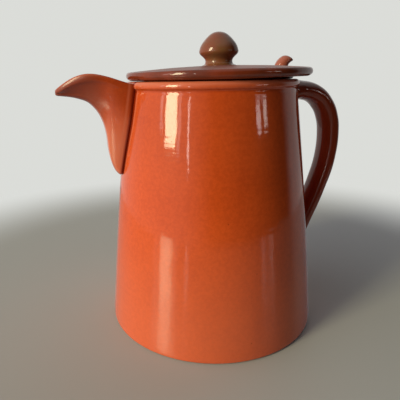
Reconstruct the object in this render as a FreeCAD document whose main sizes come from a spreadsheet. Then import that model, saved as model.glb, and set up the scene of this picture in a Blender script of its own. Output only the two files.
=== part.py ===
import FreeCAD, Part
import os
import Sketcher

# A glazed earthenware coffee pot with a loose lid.
# The pot stands on Z = 0 with its axis on Z, the spout towards -X and the handle towards +X.

FULL_TURN = 360
ON_CORNER = 1e-6
UPWARDS = FreeCAD.Vector(0, 0, 1)

# Strainer holes in each row, from the rim downwards.
STRAINER_ROWS = (3, 3, 2, 1)

# Driving sizes in millimetres, angles in degrees.
SIZES = (
    ("pot_height", 159.5, "table to the crest of the rim"),
    ("base_radius", 71.0, "outside of the wall at the table"),
    ("neck_radius", 53.6, "outside of the wall just under the rim bead"),
    ("wall_bow", 1.0, "how far the wall swells past a straight cone halfway up"),
    ("wall_thickness", 4.0, "thrown wall"),
    ("bead_protrusion", 1.3, "how far the rim bead stands out past the neck"),
    ("floor_height", 7.0, "table to the inside of the floor"),
    ("floor_corner", 9.0, "rounding inside, between floor and wall"),
    ("base_corner", 2.5, "rounding outside, at the table"),
    ("foot_ring_width", 12.0, "flat ring that the pot stands on"),
    ("foot_recess", 1.5, "hollow inside the foot ring"),
    ("strainer_hole", 4.4, "diameter of a hole behind the spout"),
    ("strainer_pitch", 7.0, "between strainer holes and between their rows"),
    ("strainer_drop", 14.0, "rim to the top row of strainer holes"),
    ("root_sink", 2.5, "how far spout and handle start inside the wall before they are trimmed"),
    ("bead_gap", 0.2, "between the rim bead and the spout or handle trimmed round it"),
    ("spout_wall", 2.6, "thickness of the spout"),
    ("spout_keel_rise", 0.55, "height of the rounded keel over its half width"),
    ("spout_headroom", 6.0, "how far the channel is cut past the lips"),
    ("spout_overcut", 1.0, "how far the channel is cut past the tip"),
    ("handle_drop", 7.0, "crest of the rim to the centre of the upper arm"),
    ("handle_arm", 9.1, "straight upper arm, from the neck"),
    ("shoulder_radius", 23.0, "first bend of the handle's centre line"),
    ("shoulder_turn", 56.0, "angle of that bend"),
    ("grip_radius", 36.0, "second bend"),
    ("grip_turn", 30.0, "angle of that bend"),
    ("back_radius", 90.0, "third bend, down the back"),
    ("back_turn", 26.0, "angle of that bend"),
    ("strap_width", 19.5, "handle across its plane"),
    ("strap_thickness", 11.2, "handle in its plane"),
    ("strap_edge", 2.6, "how far the rounded sides of the strap swell"),
    ("strap_crown", 1.6, "how far the broad faces of the strap swell"),
    ("strap_taper", 0.78, "size of the strap at its lower end over its size at the upper arm"),
    ("lid_overhang", 3.1, "how far the centred lid reaches past the rim bead"),
    ("lid_edge", 5.1, "thickness of the lid at its edge"),
    ("lid_edge_round", 1.8, "how far the edge of the lid swells"),
    ("lid_dome", 2.4, "rise of the lid from its edge to its centre"),
    ("lid_play", 2.5, "between the collar and the mouth all round when the lid is centred"),
    ("lid_ride", 2.1, "how far the collar lies over the rim on the handle's side"),
    ("lid_clearance", 0.3, "between the resting lid and the rim"),
    ("collar_depth", 1.2, "locating collar under the lid"),
    ("collar_wall", 5.0, "thickness of the collar"),
    ("knob_height", 20.2, "knob above the lid"),
    ("knob_foot_radius", 11.0, "knob where it meets the lid"),
    ("knob_neck_radius", 8.6, "waist of the knob"),
    ("knob_neck_height", 2.4, "lid to the waist"),
    ("knob_flare_radius", 9.7, "knob halfway from the waist to the rim of its cap"),
    ("knob_flare_height", 5.0, "lid to that place"),
    ("knob_cap_radius", 12.3, "widest part of the knob"),
    ("knob_cap_height", 8.3, "lid to the widest part"),
    ("knob_shoulder_radius", 9.4, "knob halfway up its cap"),
    ("knob_shoulder_height", 14.7, "lid to that place"),
    ("knob_crown_radius", 4.5, "knob where its rounded top starts"),
    ("knob_crown_height", 19.1, "lid to that place"),
    ("thumb_inset", 13.7, "edge of the lid to the middle of the thumb rest's foot"),
    ("thumb_foot", 4.3, "length of that foot, towards the handle"),
    ("thumb_height", 5.8, "thumb rest above the lid"),
    ("thumb_lean", 4.8, "how far its tip leans past the middle of its foot"),
    ("thumb_width", 8.0, "thumb rest across the handle's plane"),
    ("thumb_tip", 2.2, "thickness of its tip"),
)

# Stations of the spout from the wall to the tip. Each is one section through the spout, given by the place
# of its keel and of its lips, outwards from the neck and down from the rim, and by its half widths there.
STATIONS = {
    "root": dict(keel_drop=58.3, lip_drop=0.8, lip_half=17.2, keel_half=7.0),
    "throat": dict(keel_out=13.0, keel_drop=46.9, lip_out=5.9, lip_drop=-1.4, lip_half=17.0, keel_half=7.1),
    "bend": dict(keel_out=15.5, keel_drop=25.6, lip_out=14.5, lip_drop=-3.9, lip_half=16.4, keel_half=7.2),
    "beak": dict(keel_out=22.7, keel_drop=12.6, lip_out=23.4, lip_drop=-5.2, lip_half=15.0, keel_half=7.8),
    "bill": dict(keel_out=33.0, keel_drop=8.2, lip_out=32.3, lip_drop=-3.1, lip_half=11.4, keel_half=5.8),
    "tip": dict(keel_out=42.8, keel_drop=6.8, lip_out=40.6, lip_drop=2.2, lip_half=5.4, keel_half=3.0),
}

doc = FreeCAD.newDocument("coffee_pot")
sheet = doc.addObject("Spreadsheet::Sheet", "sizes")


def fill_sheet():
    """Write every driving size into the sheet, one row each: name, number, meaning."""
    rows = list(SIZES)
    for station, sizes in STATIONS.items():
        for size, number in sizes.items():
            rows.append((f"spout_{station}_{size}", number, f"{size} of the spout's {station} section"))
    for row, (alias, number, meaning) in enumerate(rows, start=1):
        sheet.set(f"A{row}", alias)
        sheet.set(f"B{row}", str(number))
        sheet.setAlias(f"B{row}", alias)
        sheet.set(f"C{row}", meaning)
    doc.recompute()


def value(expression):
    """Number that an expression over the sheet comes to."""
    return float(sheet.evalExpression(expression))


# The rim bead is as thick as the wall plus what stands out, and runs flush into the mouth.
BEAD_RADIUS = "((sizes.wall_thickness + sizes.bead_protrusion) / 2)"
MOUTH_RADIUS = "(sizes.neck_radius - sizes.wall_thickness)"
CREST_RADIUS = f"({MOUTH_RADIUS} + {BEAD_RADIUS})"
BEAD_HEIGHT = f"(sizes.pot_height - {BEAD_RADIUS})"
NECK_HEIGHT = f"({BEAD_HEIGHT} - sqrt({BEAD_RADIUS}^2 - (sizes.neck_radius - {CREST_RADIUS})^2))"


def wall_radius(height):
    """Outside of the pot's wall at a height."""
    share = f"(({height}) / {NECK_HEIGHT})"
    cone = f"sizes.base_radius + (sizes.neck_radius - sizes.base_radius) * {share}"
    return f"({cone} + 4 * sizes.wall_bow * {share} * (1 - {share}))"


def new_body(label):
    """Empty body that becomes one piece of the pot."""
    body = doc.addObject("PartDesign::Body", label)
    body.Label = label
    return body


def new_sketch(body, name, role):
    """Sketch on one of the body's own origin planes."""
    sketch = body.newObject("Sketcher::SketchObject", name)
    plane = next(feature for feature in body.Origin.OriginFeatures if feature.Role == role)
    sketch.AttachmentSupport = [(plane, "")]
    sketch.MapMode = "FlatFace"
    return sketch


def bind(sketch, constraint, expression):
    """Add a dimension to a sketch and drive it by an expression."""
    index = sketch.addConstraint(constraint)
    sketch.setExpression(f"Constraints[{index}]", expression)


def pin(sketch, edge, vertex, across, up):
    """Hold a vertex at a place given by two expressions, where "0" puts it on an axis."""
    if across == "0":
        sketch.addConstraint(Sketcher.Constraint("PointOnObject", edge, vertex, -2))
    else:
        bind(sketch, Sketcher.Constraint("DistanceX", -1, 1, edge, vertex, value(across)), across)
    if up == "0":
        sketch.addConstraint(Sketcher.Constraint("PointOnObject", edge, vertex, -1))
    else:
        bind(sketch, Sketcher.Constraint("DistanceY", -1, 1, edge, vertex, value(up)), up)


def place(across, up):
    """Point of a sketch from two expressions."""
    return FreeCAD.Vector(value(across), value(up), 0)


def draw_edge(sketch, start, corner):
    """Draw one edge from a point to a corner and return it with its start and end vertices.

    A corner is (x, y), reached by a straight edge, or (x, y, crown_x, crown_y), reached by an arc that
    passes through its crown.
    """
    end = place(*corner[:2])
    if len(corner) == 2:
        edge = sketch.addGeometry(Part.LineSegment(start, end), False)
    else:
        crown = place(*corner[2:])
        edge = sketch.addGeometry(Part.Arc(start, crown, end), False)
        mark = sketch.addGeometry(Part.Point(crown), True)
        sketch.addConstraint(Sketcher.Constraint("PointOnObject", mark, 1, edge))
        pin(sketch, mark, 1, *corner[2:])
    forward = sketch.getPoint(edge, 2).distanceToPoint(end) < ON_CORNER
    return (edge, 1, 2) if forward else (edge, 2, 1)


def outline(sketch, corners):
    """Draw a closed outline through corners whose coordinates are expressions."""
    edges = []
    for index, corner in enumerate(corners):
        edges.append(draw_edge(sketch, place(*corners[index - 1][:2]), corner))
    for index, corner in enumerate(corners):
        edge, _, end = edges[index]
        next_edge, next_start, _ = edges[(index + 1) % len(edges)]
        sketch.addConstraint(Sketcher.Constraint("Coincident", edge, end, next_edge, next_start))
        pin(sketch, edge, end, *corner[:2])


def revolve(body, sketch, kind, name):
    """Turn a sketch all the way round the Z axis, to add or to cut."""
    feature = body.newObject(kind, name)
    feature.Profile = sketch
    feature.ReferenceAxis = (sketch, ["V_Axis"])
    feature.Angle = FULL_TURN
    doc.recompute()
    return feature


def ring_edge(feature, radius, height):
    """Name of the circular edge of a feature at a radius and height."""
    for index, edge in enumerate(feature.Shape.Edges, start=1):
        if isinstance(edge.Curve, Part.Circle):
            off_height = abs(edge.Curve.Center.z - value(height))
            off_radius = abs(edge.Curve.Radius - value(radius))
            if max(off_height, off_radius) < ON_CORNER:
                return f"Edge{index}"
    raise ValueError(f"no ring of radius {radius} at height {height}")


def round_edges(body, feature, names, size, name):
    """Fillet named edges of a feature by a size of the sheet."""
    fillet = body.newObject("PartDesign::Fillet", name)
    fillet.Base = (feature, names)
    fillet.setExpression("Radius", size)
    doc.recompute()
    return fillet


def pot_body():
    """Thrown pot: conical wall with a rolled rim, floor, foot ring and strainer holes."""
    body = new_body("pot_body")
    section = new_sketch(body, "wall_section", "XZ_Plane")
    recess_radius = "(sizes.base_radius - sizes.foot_ring_width)"
    floor_radius = f"({wall_radius('sizes.floor_height')} - sizes.wall_thickness)"
    half_height = f"({NECK_HEIGHT} / 2)"
    inner_crown = f"({wall_radius(half_height)} - sizes.wall_thickness)"
    outline(section, [
        ("0", "sizes.foot_recess"),
        (recess_radius, "sizes.foot_recess"),
        (f"{recess_radius} + sizes.foot_recess", "0"),
        ("sizes.base_radius", "0"),
        ("sizes.neck_radius", NECK_HEIGHT, wall_radius(half_height), half_height),
        (MOUTH_RADIUS, BEAD_HEIGHT, CREST_RADIUS, "sizes.pot_height"),
        (floor_radius, "sizes.floor_height", inner_crown, half_height),
        ("0", "sizes.floor_height"),
    ])
    wall = revolve(body, section, "PartDesign::Revolution", "wall")
    base_ring = ring_edge(wall, "sizes.base_radius", "0")
    base = round_edges(body, wall, [base_ring], "sizes.base_corner", "base_rounding")
    floor_ring = ring_edge(base, floor_radius, "sizes.floor_height")
    round_edges(body, base, [floor_ring], "sizes.floor_corner", "floor_rounding")
    pierce_strainer(body)
    return body


def pierce_strainer(body):
    """Pierce the wall behind the spout with rows of holes that narrow downwards."""
    holes = new_sketch(body, "strainer_holes", "YZ_Plane")
    for row, count in enumerate(STRAINER_ROWS):
        up = f"sizes.pot_height - sizes.strainer_drop - {row} * sizes.strainer_pitch"
        for number in range(count):
            step = number - (count - 1) / 2
            across = f"{step} * sizes.strainer_pitch" if step else "0"
            circle = Part.Circle(place(across, up), UPWARDS, value("sizes.strainer_hole / 2"))
            hole = holes.addGeometry(circle, False)
            pin(holes, hole, 3, across, up)
            diameter = Sketcher.Constraint("Diameter", hole, value("sizes.strainer_hole"))
            bind(holes, diameter, "sizes.strainer_hole")
    before = body.Shape.Volume
    pocket = body.newObject("PartDesign::Pocket", "strainer")
    pocket.Profile = holes
    pocket.Type = "Length"
    pocket.setExpression("Length", "sizes.base_radius")
    doc.recompute()
    if body.Shape.Volume >= before:
        raise ValueError("the strainer holes cut nothing")


def trim_to_pot(body):
    """Cut away what lies inside the pot's outside face, round the rim bead and below the table."""
    form = new_sketch(body, "pot_form", "XZ_Plane")
    half_height = f"({NECK_HEIGHT} / 2)"
    bead = "(sizes.neck_radius + sizes.bead_protrusion + sizes.bead_gap)"
    ledge = f"({NECK_HEIGHT} - sizes.bead_gap)"
    outline(form, [
        ("0", "-sizes.pot_height"),
        ("sizes.base_radius", "-sizes.pot_height"),
        ("sizes.base_radius", "0"),
        (wall_radius(ledge), ledge, wall_radius(half_height), half_height),
        (bead, ledge),
        (bead, "2 * sizes.pot_height"),
        ("0", "2 * sizes.pot_height"),
    ])
    return revolve(body, form, "PartDesign::Groove", "trim")


def spout_section(body, station, inset):
    """Section of the spout at a station: rounded keel, slanting sides and a straight top.

    With an inset of "0" it is the outside. Any other inset is the wall that is left round the channel: the
    section is narrowed by it and set back by it towards the pot, except at the open tip.
    """
    size = f"sizes.spout_{station}_"
    keel_height = f"(sizes.pot_height - {size}keel_drop)"
    lip_height = f"(sizes.pot_height - {size}lip_drop)"
    if station == "root":
        keel_out = f"({wall_radius(keel_height)} - sizes.root_sink)"
        lip_out = "(sizes.neck_radius - sizes.root_sink)"
    else:
        keel_out = f"(sizes.neck_radius + {size}keel_out)"
        lip_out = f"(sizes.neck_radius + {size}lip_out)"
    run = f"({lip_out} - {keel_out})"
    rise = f"({lip_height} - {keel_height})"
    setback = "-sizes.spout_overcut" if station == "tip" and inset != "0" else inset
    spot = f"vector(0; {keel_height}; {keel_out} - ({setback}))"
    sketch = new_sketch(body, f"spout_{station}_{'outside' if inset == '0' else 'channel'}", "YZ_Plane")
    lean = f"rotation(vector(1; 0; 0); atan({run} / {rise}))"
    sketch.setExpression("AttachmentOffset", f"placement({spot}; {lean})")
    headroom = "0" if inset == "0" else "sizes.spout_headroom"
    top = f"(sqrt({run}^2 + {rise}^2) + {headroom})"
    lip = f"({size}lip_half - {inset})"
    keel = f"({size}keel_half - {inset} / 2)"
    side = f"({inset} + sizes.spout_keel_rise * {keel})"
    outline(sketch, [
        (f"-{lip}", top),
        (f"-{keel}", side),
        (keel, side, "0", inset),
        (lip, top),
    ])
    return sketch


def loft(body, sections, kind, name):
    """Smooth skin through sections in order, to add or to cut."""
    feature = body.newObject(kind, name)
    feature.Profile = sections[0]
    feature.Sections = sections[1:]
    feature.Ruled = False
    doc.recompute()
    return feature


def spout():
    """Open-topped beak spout, built towards +X and then turned to the far side of the pot."""
    body = new_body("spout")
    loft(body, [spout_section(body, name, "0") for name in STATIONS], "PartDesign::AdditiveLoft", "beak")
    before = body.Shape.Volume
    channel = [spout_section(body, name, "sizes.spout_wall") for name in STATIONS]
    loft(body, channel, "PartDesign::SubtractiveLoft", "channel")
    if body.Shape.Volume >= before:
        raise ValueError("the spout's channel cut nothing")
    trim_to_pot(body)
    body.Placement = FreeCAD.Placement(FreeCAD.Vector(), FreeCAD.Rotation(UPWARDS, FULL_TURN / 2))
    return body


def bend_point(across, height, radius, heading, angle):
    """Place on a bend, where a heading is the angle below level in the handle's plane."""
    out = f"({across} + {radius} * (sin({angle} * 1deg) - sin({heading} * 1deg)))"
    up = f"({height} - {radius} * (cos({heading} * 1deg) - cos({angle} * 1deg)))"
    return out, up


def handle_corners():
    """Corners of the handle's centre line and its last heading.

    The centre line has a level upper arm, three bends that open downwards, and a straight leg that runs on
    inside the wall.
    """
    across = "(sizes.neck_radius + sizes.handle_arm)"
    height = "(sizes.pot_height - sizes.handle_drop)"
    corners = [("(sizes.neck_radius - sizes.root_sink)", height), (across, height)]
    heading = "0"
    for bend in ("shoulder", "grip", "back"):
        radius = f"sizes.{bend}_radius"
        middle = f"({heading} + sizes.{bend}_turn / 2)"
        after = f"({heading} + sizes.{bend}_turn)"
        crown = bend_point(across, height, radius, heading, middle)
        across, height = bend_point(across, height, radius, heading, after)
        corners.append((across, height, *crown))
        heading = after
    drop = f"(({across} - sizes.neck_radius) / tan(({heading} - 90) * 1deg))"
    corners.append(("sizes.neck_radius", f"({height} - {drop})"))
    return corners, heading


def centre_line(body, corners):
    """Open line through the corners of the handle's centre line."""
    sketch = new_sketch(body, "centre_line", "XZ_Plane")
    last = None
    for start, corner in zip(corners, corners[1:]):
        edge, first, end = draw_edge(sketch, place(*start[:2]), corner)
        if last is None:
            pin(sketch, edge, first, *start)
        else:
            sketch.addConstraint(Sketcher.Constraint("Coincident", *last, edge, first))
        pin(sketch, edge, end, *corner[:2])
        last = (edge, end)
    return sketch


def strap_section(body, name, corner, heading, share):
    """Rounded strap section square to the centre line at one of its ends."""
    sketch = new_sketch(body, name, "YZ_Plane")
    spot = f"vector(0; {corner[1]}; {corner[0]})"
    turn = f"rotation(vector(1; 0; 0); {heading} * 1deg)"
    sketch.setExpression("AttachmentOffset", f"placement({spot}; {turn})")
    side = f"({share} * sizes.strap_width / 2)"
    face = f"({share} * sizes.strap_thickness / 2)"
    corner_out = f"({side} - {share} * sizes.strap_edge)"
    corner_up = f"({face} - {share} * sizes.strap_crown)"
    outline(sketch, [
        (corner_out, corner_up, "0", face),
        (corner_out, f"-{corner_up}", side, "0"),
        (f"-{corner_out}", f"-{corner_up}", "0", f"-{face}"),
        (f"-{corner_out}", corner_up, f"-{side}", "0"),
    ])
    return sketch


def handle():
    """Tapering strap handle swept along its centre line and trimmed to the pot at both roots."""
    body = new_body("handle")
    corners, heading = handle_corners()
    path = centre_line(body, corners)
    upper = strap_section(body, "upper_strap", corners[0], "0", "1")
    lower = strap_section(body, "lower_strap", corners[-1], heading, "sizes.strap_taper")
    doc.recompute()
    sweep = body.newObject("PartDesign::AdditivePipe", "strap")
    sweep.Profile = upper
    sweep.Spine = (path, [f"Edge{index}" for index in range(1, len(path.Shape.Edges) + 1)])
    sweep.Transformation = "Multisection"
    sweep.Sections = [lower]
    sweep.Transition = "Transformed"
    doc.recompute()
    trim_to_pot(body)
    return body


# The lid has slid towards the handle: it rests on the rim on the spout's side and on the edge of its collar
# on the handle's side, so its tilt follows from the depth of the collar.
COLLAR_RADIUS = f"({MOUTH_RADIUS} - sizes.lid_play)"
LID_SHIFT = "(sizes.lid_play + sizes.lid_ride)"
LID_TILT = f"atan(sizes.collar_depth / ({CREST_RADIUS} + {LID_SHIFT} + {COLLAR_RADIUS}))"
LID_HEIGHT = f"(sizes.pot_height + sizes.lid_clearance + ({CREST_RADIUS} + {LID_SHIFT}) * tan({LID_TILT}))"


def lay_on_rim(body):
    """Lay a piece that is drawn round the lid's own axis on the pot's rim."""
    spot = f"vector({LID_SHIFT}; 0; {LID_HEIGHT})"
    body.setExpression("Placement", f"placement({spot}; rotation(vector(0; -1; 0); {LID_TILT}))")
    doc.recompute()


LID_RADIUS = "(sizes.neck_radius + sizes.bead_protrusion + sizes.lid_overhang)"
LID_FACE_RADIUS = f"({LID_RADIUS} - sizes.lid_edge_round)"
LID_HALFWAY = f"(({LID_FACE_RADIUS} + sizes.knob_foot_radius) / 2)"


def lid_top(radius):
    """Height of the lid's domed top over its underside, at a radius."""
    return f"(sizes.lid_edge + sizes.lid_dome * (1 - (({radius}) / {LID_FACE_RADIUS})^2))"


KNOB_SEAT = lid_top("sizes.knob_foot_radius")


def lid():
    """Domed disc with a rounded edge, a flat seat for the knob and a locating collar underneath."""
    body = new_body("lid")
    section = new_sketch(body, "lid_section", "XZ_Plane")
    collar_inside = f"({COLLAR_RADIUS} - sizes.collar_wall)"
    outline(section, [
        ("0", "0"),
        (collar_inside, "0"),
        (collar_inside, "-sizes.collar_depth"),
        (COLLAR_RADIUS, "-sizes.collar_depth"),
        (COLLAR_RADIUS, "0"),
        (LID_FACE_RADIUS, "0"),
        (LID_FACE_RADIUS, "sizes.lid_edge", LID_RADIUS, "sizes.lid_edge / 2"),
        ("sizes.knob_foot_radius", KNOB_SEAT, LID_HALFWAY, lid_top(LID_HALFWAY)),
        ("0", KNOB_SEAT),
    ])
    revolve(body, section, "PartDesign::Revolution", "disc")
    lay_on_rim(body)
    return body


def lid_knob():
    """Acorn knob: flared foot, narrow waist and a pointed cap."""
    body = new_body("lid_knob")
    section = new_sketch(body, "knob_section", "XZ_Plane")

    def at(name):
        return f"sizes.knob_{name}_radius", f"({KNOB_SEAT} + sizes.knob_{name}_height)"

    top = f"({KNOB_SEAT} + sizes.knob_height)"
    foot_crown = "((sizes.knob_foot_radius + 2 * sizes.knob_neck_radius) / 3)"
    foot_crown_height = f"({KNOB_SEAT} + sizes.knob_neck_height / 3)"
    cap_rise = "(sizes.knob_height - sizes.knob_crown_height)"
    cap_sphere = f"((sizes.knob_crown_radius^2 + {cap_rise}^2) / (2 * {cap_rise}))"
    cap_middle = "(sizes.knob_crown_radius / 2)"
    cap_middle_height = f"({top} - {cap_sphere} + sqrt({cap_sphere}^2 - {cap_middle}^2))"
    outline(section, [
        ("0", KNOB_SEAT),
        ("sizes.knob_foot_radius", KNOB_SEAT),
        (*at("neck"), foot_crown, foot_crown_height),
        (*at("cap"), *at("flare")),
        (*at("crown"), *at("shoulder")),
        ("0", top, cap_middle, cap_middle_height),
    ])
    revolve(body, section, "PartDesign::Revolution", "turned_knob")
    lay_on_rim(body)
    return body


def lid_thumb_rest():
    """Small lug that curls outwards from the lid, trimmed to the lid's domed top."""
    body = new_body("lid_thumb_rest")
    side = new_sketch(body, "thumb_side", "XZ_Plane")
    middle = f"({LID_RADIUS} - sizes.thumb_inset)"
    foot = lid_top(middle)
    inner = f"({middle} - sizes.thumb_foot / 2)"
    outer = f"({middle} + sizes.thumb_foot / 2)"
    tip = f"({middle} + sizes.thumb_lean)"
    top = f"({foot} + sizes.thumb_height)"
    crest = f"({tip} - sizes.thumb_tip)"
    tip_under = f"({top} - sizes.thumb_tip)"
    back = (f"({inner} + ({crest} - {inner}) / 4)", f"({foot} + 2 * sizes.thumb_height / 3)")
    nose = (tip, f"({top} - sizes.thumb_tip / 3)")
    belly = (f"({outer} + ({tip} - {outer}) / 5)", f"({foot} + 2 * sizes.thumb_height / 5)")
    outline(side, [
        (inner, "sizes.lid_edge"),
        (inner, foot),
        (crest, top, *back),
        (f"({tip} - sizes.thumb_tip / 3)", tip_under, *nose),
        (outer, foot, *belly),
        (outer, "sizes.lid_edge"),
    ])
    pad = body.newObject("PartDesign::Pad", "lug")
    pad.Profile = side
    pad.setExpression("Length", "sizes.thumb_width")
    pad.Midplane = True
    doc.recompute()
    form = new_sketch(body, "lid_form", "XZ_Plane")
    outline(form, [
        ("0", "0"),
        (LID_FACE_RADIUS, "0"),
        (LID_FACE_RADIUS, "sizes.lid_edge"),
        ("sizes.knob_foot_radius", KNOB_SEAT, LID_HALFWAY, lid_top(LID_HALFWAY)),
        ("0", KNOB_SEAT),
    ])
    revolve(body, form, "PartDesign::Groove", "trim_to_lid")
    lay_on_rim(body)
    return body


def check(pieces):
    """Refuse to go on with any failed object or unusable shape."""
    failed = [item.Name for item in doc.Objects if {"Invalid", "Error"} & set(item.State)]
    if failed:
        raise RuntimeError(f"failed objects: {failed}")
    for piece in pieces:
        if piece.Shape.isNull() or not piece.Shape.isValid():
            raise RuntimeError(f"unusable shape: {piece.Label}")


def main():
    """Build every piece, check it and write its file."""
    fill_sheet()
    pieces = [pot_body(), spout(), handle(), lid(), lid_knob(), lid_thumb_rest()]
    doc.recompute()
    check(pieces)
    os.makedirs("parts", exist_ok=True)
    for piece in pieces:
        piece.Shape.exportStep(f"parts/{piece.Label}.step")
        print(f"{piece.Label}: {len(piece.Shape.Solids)} solid, {piece.Shape.Volume / 1000:.1f} cm3")


main()
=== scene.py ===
"""Looks of a glazed earthenware coffee pot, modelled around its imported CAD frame."""
import logging
import math
from dataclasses import dataclass, replace
from enum import Enum
from typing import Callable

import bpy
from mathutils import Matrix, Vector


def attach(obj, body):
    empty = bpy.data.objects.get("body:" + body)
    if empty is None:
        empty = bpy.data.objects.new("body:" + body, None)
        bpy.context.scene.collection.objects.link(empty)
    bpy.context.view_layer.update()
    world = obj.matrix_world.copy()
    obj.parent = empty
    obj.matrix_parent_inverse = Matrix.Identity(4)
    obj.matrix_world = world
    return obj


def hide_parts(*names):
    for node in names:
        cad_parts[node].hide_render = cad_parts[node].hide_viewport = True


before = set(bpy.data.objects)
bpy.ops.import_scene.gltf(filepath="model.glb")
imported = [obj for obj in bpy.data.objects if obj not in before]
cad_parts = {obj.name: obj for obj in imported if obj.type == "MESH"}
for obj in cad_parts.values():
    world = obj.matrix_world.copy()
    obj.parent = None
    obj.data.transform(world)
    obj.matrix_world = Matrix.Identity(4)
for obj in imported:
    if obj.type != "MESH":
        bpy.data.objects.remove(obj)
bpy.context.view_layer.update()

MM = 0.001
MERGE = 0.001 * MM
FULL_TURN = math.tau
QUARTER_TURN = math.pi / 2
PARABOLA = 4.0
MIX_FIRST, MIX_SECOND, MIX_COLOUR = 6, 7, 2

Piece = bpy.types.Object
Socket = bpy.types.NodeSocket
Colour = tuple[float, float, float, float]
Place = tuple[float, float, float]
Line = tuple[tuple[float, float], ...]
Source = Socket | float | tuple[float, ...]
log = logging.getLogger("coffee_pot")


class Passing(Enum):
    """How a drawn line passes one of its knots."""

    SMOOTH = "AUTO"
    CORNER = "VECTOR"


class Body(Enum):
    """Bodies of the frame that pieces ride on."""

    POT = "pot"
    LID = "lid_assembly"


class Slot(Enum):
    """Material slots of the record."""

    POT = "pot_glaze"
    LID = "lid_glaze"


@dataclass(frozen=True)
class Knot:
    """One knot of a drawn line, in millimetres."""

    place: Place
    passing: Passing = Passing.SMOOTH
    swell: float = 1.0


@dataclass(frozen=True)
class Ramp:
    """Stretch over which something rises smoothly from 0 to its full share."""

    start: float
    end: float
    share: float = 1.0


@dataclass(frozen=True)
class Pattern:
    """Cloudy pattern: how fine it is, its makeup, its stretch along each axis and the values that show."""

    scale: float
    detail: float = 2.0
    roughness: float = 0.5
    stretch: Place | None = None
    shown: Ramp = Ramp(0.0, 1.0)


def bulge(share: float) -> float:
    """Even swell along a line, from 0 at both its ends to 1 in the middle."""
    return PARABOLA * share * (1 - share)


def level_direction(azimuth: float) -> Vector:
    """Level direction at an angle round the pot's axis, in degrees."""
    turn = math.radians(azimuth)
    return Vector((math.sin(turn), -math.cos(turn), 0.0))


def profile_knot(radius: float, height: float, passing: Passing = Passing.SMOOTH) -> Knot:
    """Knot of a turned profile, drawn in the plane of X and Z."""
    return Knot((radius, 0.0, height), passing)


def arc_knots(
    centre: tuple[float, float], radius: float, start: float, end: float, count: int
) -> list[Knot]:
    """Knots of a round stretch of a turned profile.

    Args:
        centre: Radius and height of the arc's centre, in millimetres.
        radius: Radius of the arc, in millimetres.
        start: Angle of the first knot above level, in degrees.
        end: Angle of the last knot, in degrees.
        count: Number of knots.

    Returns:
        The knots from start to end.
    """
    knots = []
    for index in range(count):
        angle = math.radians(start + (end - start) * index / (count - 1))
        out, up = radius * math.cos(angle), radius * math.sin(angle)
        knots.append(profile_knot(centre[0] + out, centre[1] + up))
    return knots


def deselect() -> None:
    """Leave nothing selected, so that an operator acts on the new piece alone."""
    if bpy.context.object and bpy.context.object.mode != "OBJECT":
        bpy.ops.object.mode_set(mode="OBJECT")
    bpy.ops.object.select_all(action="DESELECT")


def take_up(piece: Piece) -> None:
    """Select one piece alone and make it the active one.

    Args:
        piece: The piece.
    """
    deselect()
    piece.select_set(True)
    bpy.context.view_layer.objects.active = piece


def draw_lines(name: str, lines: list[list[Knot]], resolution: int, closed: bool = False) -> Piece:
    """Draw smooth lines through knots as one curve object.

    Args:
        name: Name of the object.
        lines: Knots of each line, in millimetres.
        resolution: Steps between two knots.
        closed: Whether each line runs back to its first knot.

    Returns:
        The curve object, selected and active.
    """
    deselect()
    bpy.ops.curve.primitive_bezier_curve_add(location=(0, 0, 0))
    drawing = bpy.context.object
    drawing.name = name
    drawing.data.dimensions = "3D"
    drawing.data.splines.clear()
    for knots in lines:
        spline = drawing.data.splines.new("BEZIER")
        spline.bezier_points.add(len(knots) - 1)
        spline.resolution_u = resolution
        spline.use_cyclic_u = closed
        for point, knot in zip(spline.bezier_points, knots):
            point.co = Vector(knot.place) * MM
            point.radius = knot.swell
            point.handle_left_type = knot.passing.value
            point.handle_right_type = knot.passing.value
    return drawing


def as_mesh() -> Piece:
    """Make the active drawing a mesh."""
    bpy.ops.object.convert(target="MESH")
    return bpy.context.object


def edit_all() -> None:
    """Go into edit mode with the whole mesh selected."""
    bpy.ops.object.mode_set(mode="EDIT")
    bpy.ops.mesh.select_all(action="SELECT")


def select_faces(piece: Piece, wanted: Callable[[bpy.types.MeshPolygon], bool]) -> None:
    """Go into edit mode with only the wanted faces of a piece selected.

    Args:
        piece: The active piece.
        wanted: Test by a face's place or normal.
    """
    bpy.ops.object.mode_set(mode="EDIT")
    bpy.ops.mesh.select_mode(type="FACE")
    bpy.ops.mesh.select_all(action="DESELECT")
    bpy.ops.object.mode_set(mode="OBJECT")
    for face in piece.data.polygons:
        face.select = wanted(face)
    bpy.ops.object.mode_set(mode="EDIT")


def close_mesh() -> None:
    """Merge doubles, turn all faces outwards and leave edit mode with smooth shading."""
    bpy.ops.mesh.select_all(action="SELECT")
    bpy.ops.mesh.remove_doubles(threshold=MERGE)
    bpy.ops.mesh.normals_make_consistent(inside=False)
    bpy.ops.object.mode_set(mode="OBJECT")
    bpy.ops.object.shade_smooth()


def turn_profile(name: str, knots: list[Knot], resolution: int, steps: int) -> Piece:
    """Turn a closed profile round the Z axis, as on a wheel.

    Args:
        name: Name of the piece.
        knots: Profile from the axis, round the piece and back to the axis.
        resolution: Steps between two knots.
        steps: Steps round the axis.

    Returns:
        The turned piece, selected and active.
    """
    draw_lines(name, [knots], resolution)
    piece = as_mesh()
    edit_all()
    bpy.ops.mesh.spin(steps=steps, angle=FULL_TURN, center=(0, 0, 0), axis=(0, 0, 1))
    close_mesh()
    return piece


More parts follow.
